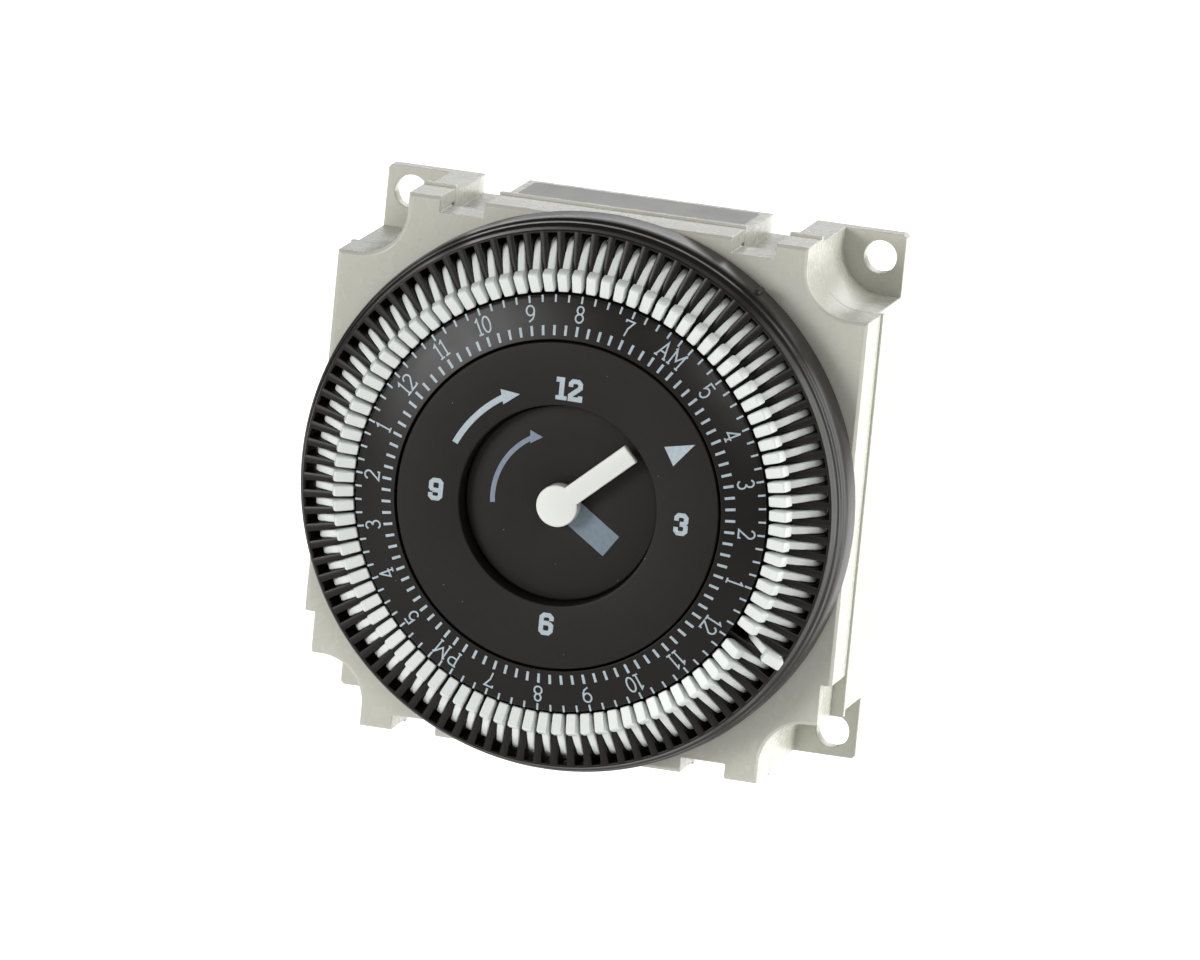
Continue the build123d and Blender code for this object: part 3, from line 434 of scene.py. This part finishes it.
# internal teeth that the drive pinion turns: the wall's radius swings between tip and root
ring = {"teeth": 72, "tip": 21.12, "root": 22.23, "outer": 22.8, "low": 23.7, "high": 28.6}
cad = np.array([tuple(v.co) for v in nodes["dial"].data.vertices]) / millimetre
cadRadius = np.hypot(cad[:, 0], cad[:, 2])
tips = cad[np.abs(cadRadius - ring["tip"]) < 0.03]
toothAngle = 2 * math.pi / ring["teeth"]
phase = np.angle(np.mean(np.exp(1j * ring["teeth"] * np.arctan2(tips[:, 0], tips[:, 2])))) / ring["teeth"]
turn = np.arange(ring["teeth"] * 8) * toothAngle / 8 + phase
wave = np.clip(0.5 + 1.1 * np.cos(ring["teeth"] * (turn - phase)), 0, 1)
inner = ring["root"] + (ring["tip"] - ring["root"]) * wave
rows = [onDial(inner, np.degrees(turn), ring["low"]), onDial(inner, np.degrees(turn), ring["high"]),
        onDial(0 * inner + ring["outer"], np.degrees(turn), ring["high"]),
        onDial(0 * inner + ring["outer"], np.degrees(turn), ring["low"])]
dial.add(np.array(rows), gridFaces(4, len(turn), True, True))

# raised mark on the rim
markAngle = np.arange(16) * 22.5
markLevels = np.array([(24.6, 0.45), (27.0, 0.45), (27.4, 0.3), (27.5, 0.1)])
mark = np.array([np.c_[36.0 * math.sin(math.radians(d["markBearing"])) + size * np.cos(np.radians(markAngle)),
                       np.full(16, -height),
                       36.0 * math.cos(math.radians(d["markBearing"])) + size * np.sin(np.radians(markAngle))]
                 for height, size in markLevels])
dial.add(mark, gridFaces(4, 16, False, True) + [list(range(16)), list(range(48, 64))])
dial.piece("dialMoulding", "dial_black", "dial", "dial_black", ["dial"])
print("dial made,", dial.count, "points")

# ---- trippers: a rocker on the wire, with a flared head above a thin body
rocker = {
    "radius": 31.1, "height": 27.5, "swing": 20.6, "halfBody": 0.475,
    "body": [(-0.75, 6.0, 0.1), (0.75, 6.0, 0.1), (3.0, 2.2, 0.5), (3.0, 1.0, 0.5), (2.4, -0.5, 0.3),
             (0.6, -1.2, 0.2), (0.6, -3.0, 0.2), (-0.6, -3.0, 0.2), (-0.6, -1.2, 0.2),
             (-2.4, -0.5, 0.3), (-3.0, 1.0, 0.5), (-3.0, 2.2, 0.5)],
    # height above the wire, half length along the dial's radius, half width
    "head": [(5.5, 0.74, 0.44), (5.75, 0.98, 0.52), (6.15, 1.3, 0.68), (6.35, 1.35, 0.7), (7.3, 1.35, 0.7),
             (7.55, 1.3, 0.67), (7.68, 1.17, 0.57)],
}
bodyLine = np.array(rocker["body"])
bodyPoints, bodyFaces = prism(roundCorners(bodyLine[:, :2], bodyLine[:, 2], 3),
                              -rocker["halfBody"], rocker["halfBody"], 0.12, 2)
corner = np.radians(np.arange(16) * 22.5 + 11.25)
oval = np.stack([np.cos(corner), np.sin(corner)], 1)
oval = np.sign(oval) * np.abs(oval) ** 0.22
headPoints = np.array([np.c_[length * oval[:, 0], np.full(16, height), width * oval[:, 1]]
                       for height, length, width in rocker["head"]]).reshape(-1, 3)
headFaces = gridFaces(len(rocker["head"]), 16, False, True)
headFaces += [list(range(16)), list(range(headPoints.shape[0] - 16, headPoints.shape[0]))[::-1]]


def standing(points, bearing, tilt):
    # from (outwards, up, sideways) about the wire, leaning inwards by tilt, to its place on the dial
    lean = math.radians(tilt)
    out = points[:, 0] * math.cos(lean) - points[:, 1] * math.sin(lean) + rocker["radius"]
    rise = points[:, 0] * math.sin(lean) + points[:, 1] * math.cos(lean) + rocker["height"]
    angle = np.radians(bearing)
    return np.stack([out * np.sin(angle) + points[:, 2] * np.cos(angle), -rise,
                     out * np.cos(angle) - points[:, 2] * np.sin(angle)], -1)


row = Shape()
for quarter in range(d["trippers"]):
    bearing = midnight - pitch * (quarter + 0.5)
    tilt = rocker["swing"] * (1 if quarter else -1)
    single = row if quarter % 4 else Shape()
    single.add(standing(bodyPoints, bearing, tilt), bodyFaces)
    single.add(standing(headPoints, bearing, tilt), headFaces)
    if quarter % 4 == 0:
        name = f"tripper_{quarter // 4:02d}"
        single.piece(f"rocker_{quarter // 4:02d}", "tripper_white", name, "tripper_white", [name])
row.piece("rockerRow", "tripper_white", "dial", "tripper_white", ["tripper_set"])
print("trippers made,", row.count, "points in the row")

# ---- centre plate, hour disc and minute hand
plate = {"bore": 2.35, "low": 31.3, "floor": 32.4, "recess": 12.9, "radius": 21.1, "face": 36.0,
         "ridge": (14.2, 19.9), "ridgeTop": 34.8, "rimLow": 31.6,
         "pegs": (0.0, 120.0, 240.0), "pegPlace": 5.6, "pegRadius": 0.9, "pegHeights": (30.15, 31.5)}
p = plate
plateProfile = np.array([
    (p["bore"], p["low"], 0.05), (p["ridge"][0], p["low"], 0.1), (p["ridge"][0], p["ridgeTop"], 0.1),
    (p["ridge"][1], p["ridgeTop"], 0.1), (p["ridge"][1], p["rimLow"], 0.1),
    (p["radius"], p["rimLow"], 0.1), (p["radius"], p["face"], 0.22), (p["recess"], p["face"], 0.3),
    (p["recess"], p["floor"], 0.15), (p["bore"], p["floor"], 0.05)])
centrePlate = Shape()
centrePlate.add(*lathe(roundCorners(plateProfile[:, :2], plateProfile[:, 2])))
pegTurn = np.arange(16) * 22.5
for bearing in p["pegs"]:
    base = onDial(p["pegPlace"], bearing, 0.0)
    peg = np.array([np.c_[base[0] + p["pegRadius"] * np.cos(np.radians(pegTurn)), np.full(16, -height),
                          base[2] + p["pegRadius"] * np.sin(np.radians(pegTurn))]
                    for height in p["pegHeights"]])
    centrePlate.add(peg, gridFaces(2, 16, False, True) + [list(range(16)), list(range(16, 32))])
centrePlate.piece("centrePlateMoulding", "plate_black", "root", "dial_black", ["centre_plate"])

disc = Shape()
discSize = {"bore": 2.22, "radius": 12.6, "low": 32.9, "top": 33.6}
o = discSize
discProfile = np.array([(o["bore"], o["low"], 0.05), (o["radius"], o["low"], 0.1),
                        (o["radius"], o["top"], 0.2), (o["bore"], o["top"], 0.05)])
disc.add(*lathe(roundCorners(discProfile[:, :2], discProfile[:, 2]), 256))
disc.piece("hourDiscMoulding", "disc_black", "hour", "dial_black", ["hour_disc"])

hand = {"bearing": 48.0, "length": 12.0, "width": 2.64, "hub": 2.7, "low": 35.2, "top": 36.4, "hubLow": 33.92}
start = math.degrees(math.asin(hand["width"] / 2 / hand["hub"]))
arc = np.radians(np.linspace(start, 360 - start, 60))
handLine = np.concatenate([np.c_[hand["hub"] * np.cos(arc), hand["hub"] * np.sin(arc)],
                           [(hand["length"] - 0.15, -hand["width"] / 2),
                            (hand["length"], -hand["width"] / 2 + 0.15),
                            (hand["length"], hand["width"] / 2 - 0.15),
                            (hand["length"] - 0.15, hand["width"] / 2)]])


def turnedFlat(points, bearing):
    # from (along, across, height) to the dial, with along at that bearing
    angle = math.radians(bearing)
    return np.stack([points[:, 0] * math.sin(angle) + points[:, 1] * math.cos(angle), -points[:, 2],
                     points[:, 0] * math.cos(angle) - points[:, 1] * math.sin(angle)], -1)


minuteHand = Shape()
handPoints, handFaces = prism(handLine, hand["low"], hand["top"], 0.22, 4)
minuteHand.add(turnedFlat(handPoints, hand["bearing"]), handFaces)
hubLine = np.c_[hand["hub"] * np.cos(np.arange(64) * math.pi / 32),
                hand["hub"] * np.sin(np.arange(64) * math.pi / 32)]
hubPoints, hubFaces = prism(hubLine * 0.985, hand["hubLow"], hand["low"] + 0.4, 0.1, 2)
minuteHand.add(turnedFlat(hubPoints, 0), hubFaces)
minuteHand.piece("minuteHandMoulding", "hand_white", "minute", "hand_white", ["minute_hand"], 50)
print("centre plate, disc and hand made")


# ---- printing
def arcPath(across, rise, wide, tall, start, end, count=9):
    # part of an ellipse, its angles counter-clockwise from the right
    angle = np.radians(np.linspace(start, end, count))
    return np.c_[across + wide * np.cos(angle), rise + tall * np.sin(angle)]


def joined(*parts):
    return np.concatenate([np.atleast_2d(part) for part in parts])


# thin figures, one unit high: each is its width and its strokes
thin = {
    "0": (0.56, [arcPath(0, 0, 0.24, 0.5, 0, 345, 24)]),
    "1": (0.36, [joined((-0.15, 0.34), (0.02, 0.5), (0.02, -0.5)), joined((-0.15, -0.5), (0.19, -0.5))]),
    "2": (0.60, [joined(arcPath(0, 0.23, 0.25, 0.27, 170, -20, 10),
                        (-0.27, -0.5), (0.27, -0.5), (0.27, -0.36))]),
    "3": (0.58, [joined(arcPath(0, 0.26, 0.22, 0.24, 155, -90, 11)),
                 joined(arcPath(0, -0.24, 0.26, 0.26, 90, -160, 12))]),
    "4": (0.60, [joined((0.12, -0.5), (0.12, 0.5)), joined((0.12, 0.5), (-0.27, -0.2), (0.28, -0.2)),
                 joined((-0.03, -0.5), (0.27, -0.5))]),
    "5": (0.58, [joined((0.22, 0.5), (-0.2, 0.5), (-0.22, 0.04),
                        arcPath(0, -0.16, 0.26, 0.33, 125, -150, 12))]),
    "7": (0.58, [joined((-0.26, 0.36), (-0.26, 0.5), (0.26, 0.5), (0.0, 0.0), (-0.06, -0.5))]),
    "8": (0.58, [arcPath(0, 0.26, 0.2, 0.24, 0, 345, 18), arcPath(0, -0.24, 0.25, 0.26, 0, 345, 20)]),
    "9": (0.58, [arcPath(0, 0.19, 0.25, 0.3, 0, 345, 20),
                 joined((0.25, 0.19), (0.23, -0.1), (0.12, -0.34), (-0.14, -0.5))]),
    "A": (0.86, [joined((-0.33, -0.5), (0, 0.5), (0.33, -0.5)), joined((-0.21, -0.14), (0.21, -0.14)),
                 joined((-0.44, -0.5), (-0.2, -0.5)), joined((0.2, -0.5), (0.44, -0.5))]),
    "M": (0.98, [joined((-0.34, -0.5), (-0.34, 0.5), (0, -0.12), (0.34, 0.5), (0.34, -0.5)),
                 joined((-0.46, -0.5), (-0.22, -0.5)), joined((0.22, -0.5), (0.46, -0.5)),
                 joined((-0.46, 0.5), (-0.34, 0.5)), joined((0.34, 0.5), (0.46, 0.5))]),
    "P": (0.74, [joined((-0.22, -0.5), (-0.22, 0.5)),
                 joined((-0.22, 0.5), (0.06, 0.5), arcPath(0.06, 0.24, 0.22, 0.26, 75, -90, 8), (-0.22, -0.02)),
                 joined((-0.34, -0.5), (-0.08, -0.5)), joined((-0.34, 0.5), (-0.22, 0.5))]),
}
closedThin = {"0", "8", "9"}
marks = {"labelRadius": 24.72, "height": 2.0, "stroke": 0.21, "gap": 0.10,
         "innerTick": (21.95, 23.2, 0.34), "outerTick": (26.05, 26.95, 0.25)}
labels = "12 1 2 3 4 5 AM 7 8 9 10 11 12 1 2 3 4 5 PM 7 8 9 10 11".split()


def onCone(radius, bearing):
    # places flat (sideways, outwards) points around a spot on the printed face
    def place(flat, lift):
        out = radius + flat[:, 1]
        return onDial(out, bearing + np.degrees(flat[:, 0] / radius), faceHeight(out) + lift)
    return place


dialPrint = Shape()
for hour, label in enumerate(labels):
    widths = [thin[letter][0] for letter in label]
    across = -(sum(widths) + marks["gap"] * (len(label) - 1)) / 2
    place = onCone(marks["labelRadius"], midnight - 15 * hour)
    for letter, width in zip(label, widths):
        for number, path in enumerate(thin[letter][1]):
            path = (path + (across + width / 2, 0)) * marks["height"]
            stroke(dialPrint, path, marks["stroke"], place, letter in closedThin and len(path) > 12,
                   0.02 + 0.006 * number)
        across += width + marks["gap"]
for low, high, width in (marks["innerTick"], marks["outerTick"]):
    for quarter in range(d["trippers"]):
        middle = (low + high) / 2
        reach = (high - low) / 2
        stroke(dialPrint, [(0, -reach), (0, reach)], width, onCone(middle, midnight - pitch * quarter))
dialPrint.piece("dialFigures", "print_pale", "dial", "dial_black", sharp=20)

# bold figures on the centre plate, in units of their height
bold = {
    "1": [([(-0.24, 0.38), (0.02, 0.38), (0.02, -0.40)], 0.22), ([(-0.22, -0.41), (0.27, -0.41)], 0.18)],
    "2": [([(-0.22, 0.14), (-0.22, 0.29), (-0.13, 0.39), (0.11, 0.39), (0.21, 0.29), (0.21, 0.12),
            (-0.21, -0.24), (-0.21, -0.39), (0.23, -0.39), (0.23, -0.22)], 0.2)],
    "3": [([(-0.22, 0.14), (-0.22, 0.29), (-0.13, 0.39), (0.11, 0.39), (0.21, 0.29), (0.21, 0.11), (0.12, 0.02),
            (-0.06, 0.02)], 0.2),
          ([(-0.06, 0.0), (0.12, 0.0), (0.21, -0.1), (0.21, -0.29), (0.11, -0.39), (-0.13, -0.39), (-0.22, -0.29),
            (-0.22, -0.14)], 0.2)],
    "6": [([(0.22, 0.16), (0.22, 0.29), (0.12, 0.39), (-0.12, 0.39), (-0.22, 0.29), (-0.22, -0.29), (-0.12, -0.39),
            (0.12, -0.39), (0.22, -0.29), (0.22, -0.06), (0.12, 0.04)], 0.2), ([(0.14, 0.04), (-0.2, 0.04)], 0.2)],
}
bold["9"] = [([(-x, -y) for x, y in path], width) for path, width in bold["6"]]
platePrint = Shape()
plateMarks = {"height": 2.95, "face": plate["face"],
              "figures": [("1", -0.92, 15.15), ("2", 0.95, 15.1), ("3", 16.3, -0.1),
                          ("6", 0.05, -15.4), ("9", -16.0, -0.1)],
              "arrow": {"radius": 15.4, "start": 294.0, "end": 328.5, "tip": 335.5, "tipRadius": 15.0,
                        "width": 0.78,
                        "head": 2.0},
              "pointer": {"tip": 20.0, "base": 16.2, "half": 1.35}}


def flatAt(height):
    # places flat (right, up) points at a height on the dial's axis
    def place(flat, lift):
        return np.stack([flat[:, 0], np.full(len(flat), -(height + lift)), flat[:, 1]], -1)
    return place


def arrow(shape, spec, place, count=18):
    # a curved tail about the axis, and a straight-sided head on its end
    bearing = np.radians(np.linspace(spec["start"], spec["end"], count))
    radius = spec["radius"]
    stroke(shape, np.c_[radius * np.sin(bearing), radius * np.cos(bearing)], spec["width"], place)
    tip = np.radians(spec["tip"])
    end = np.array([radius * np.sin(bearing[-1]), radius * np.cos(bearing[-1])])
    point = np.array([spec["tipRadius"] * np.sin(tip), spec["tipRadius"] * np.cos(tip)])
    along = (point - end) / np.linalg.norm(point - end)
    across = np.array([-along[1], along[0]]) * spec["head"] / 2
    back = end - along * 0.5
    patch(shape, [back + across, back - across, point], place, 0.036)


place = flatAt(plateMarks["face"])
for letter, across, rise in plateMarks["figures"]:
    for number, (path, width) in enumerate(bold[letter]):
        path = np.array(path) * plateMarks["height"] + (across, rise)
        stroke(platePrint, path, width * plateMarks["height"], place, thick=0.02 + 0.006 * number)
arrow(platePrint, plateMarks["arrow"], place)
spec = plateMarks["pointer"]
axis = np.array([math.sin(math.radians(d["pointer"])), math.cos(math.radians(d["pointer"]))])
beside = np.array([axis[1], -axis[0]])
patch(platePrint, [axis * spec["tip"], axis * spec["base"] + beside * spec["half"],
                   axis * spec["base"] - beside * spec["half"]], place)
platePrint.piece("plateFigures", "print_pale", "root", "dial_black", sharp=20)

discMarks = {"face": discSize["top"], "bearing": 124.3, "width": 3.36, "length": 8.4,
             "arrow": {"radius": 9.1, "start": 262.5, "end": 331.0, "tip": 338.0, "tipRadius": 8.7,
                       "width": 0.62,
                       "head": 1.7}}
place = flatAt(discMarks["face"])
axis = np.array([math.sin(math.radians(discMarks["bearing"])), math.cos(math.radians(discMarks["bearing"]))])
hourPrint = Shape()
stroke(hourPrint, [axis * 1.5, axis * discMarks["length"]], discMarks["width"], place)
hourPrint.piece("hourHandPrint", "print_grey", "hour", "dial_black", sharp=20)
arrowPrint = Shape()
arrow(arrowPrint, discMarks["arrow"], place)
arrowPrint.piece("hourArrowPrint", "print_arrow", "hour", "dial_black", sharp=20)
print("printing made")


# ---- housing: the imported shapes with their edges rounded
def softened(node, name, look, width):
    source = nodes[node].data
    mesh = bpy.data.meshes.new(name)
    points = np.zeros(len(source.vertices) * 3)
    source.vertices.foreach_get("co", points)
    mesh.from_pydata(points.reshape(-1, 3).tolist(), [], [list(face.vertices) for face in source.polygons])
    made = bmesh.new()
    made.from_mesh(mesh)
    bmesh.ops.remove_doubles(made, verts=made.verts, dist=2e-6)
    made.to_mesh(mesh)
    made.free()
    mesh.polygons.foreach_set("use_smooth", [True] * len(mesh.polygons))
    mesh.materials.append(looks[look])
    thing = bpy.data.objects.new(name, mesh)
    bpy.context.collection.objects.link(thing)
    bevel = thing.modifiers.new("edges", "BEVEL")
    bevel.width, bevel.segments, bevel.limit_method = width * millimetre, 3, "ANGLE"
    bevel.angle_limit, bevel.harden_normals, bevel.use_clamp_overlap = math.radians(38), True, False
    bevel.miter_outer = "MITER_ARC"
    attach(thing, "root")
    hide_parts(node)
    return thing


softened("front_cover", "coverMoulding", "housing_grey", 0.14)
softened("rear_case", "caseMoulding", "housing_grey", 0.14)
print("housing made")

# ---- floor
floor = Shape()
size = studio["floorSize"] / millimetre
spread = np.linspace(-1, 1, 3)
grid = np.array([[(x * size, y * size, studio["floorHeight"] / millimetre) for x in spread] for y in spread])
floor.add(grid, gridFaces(3, 3))
floor.piece("floor", "floor_white", None, None)
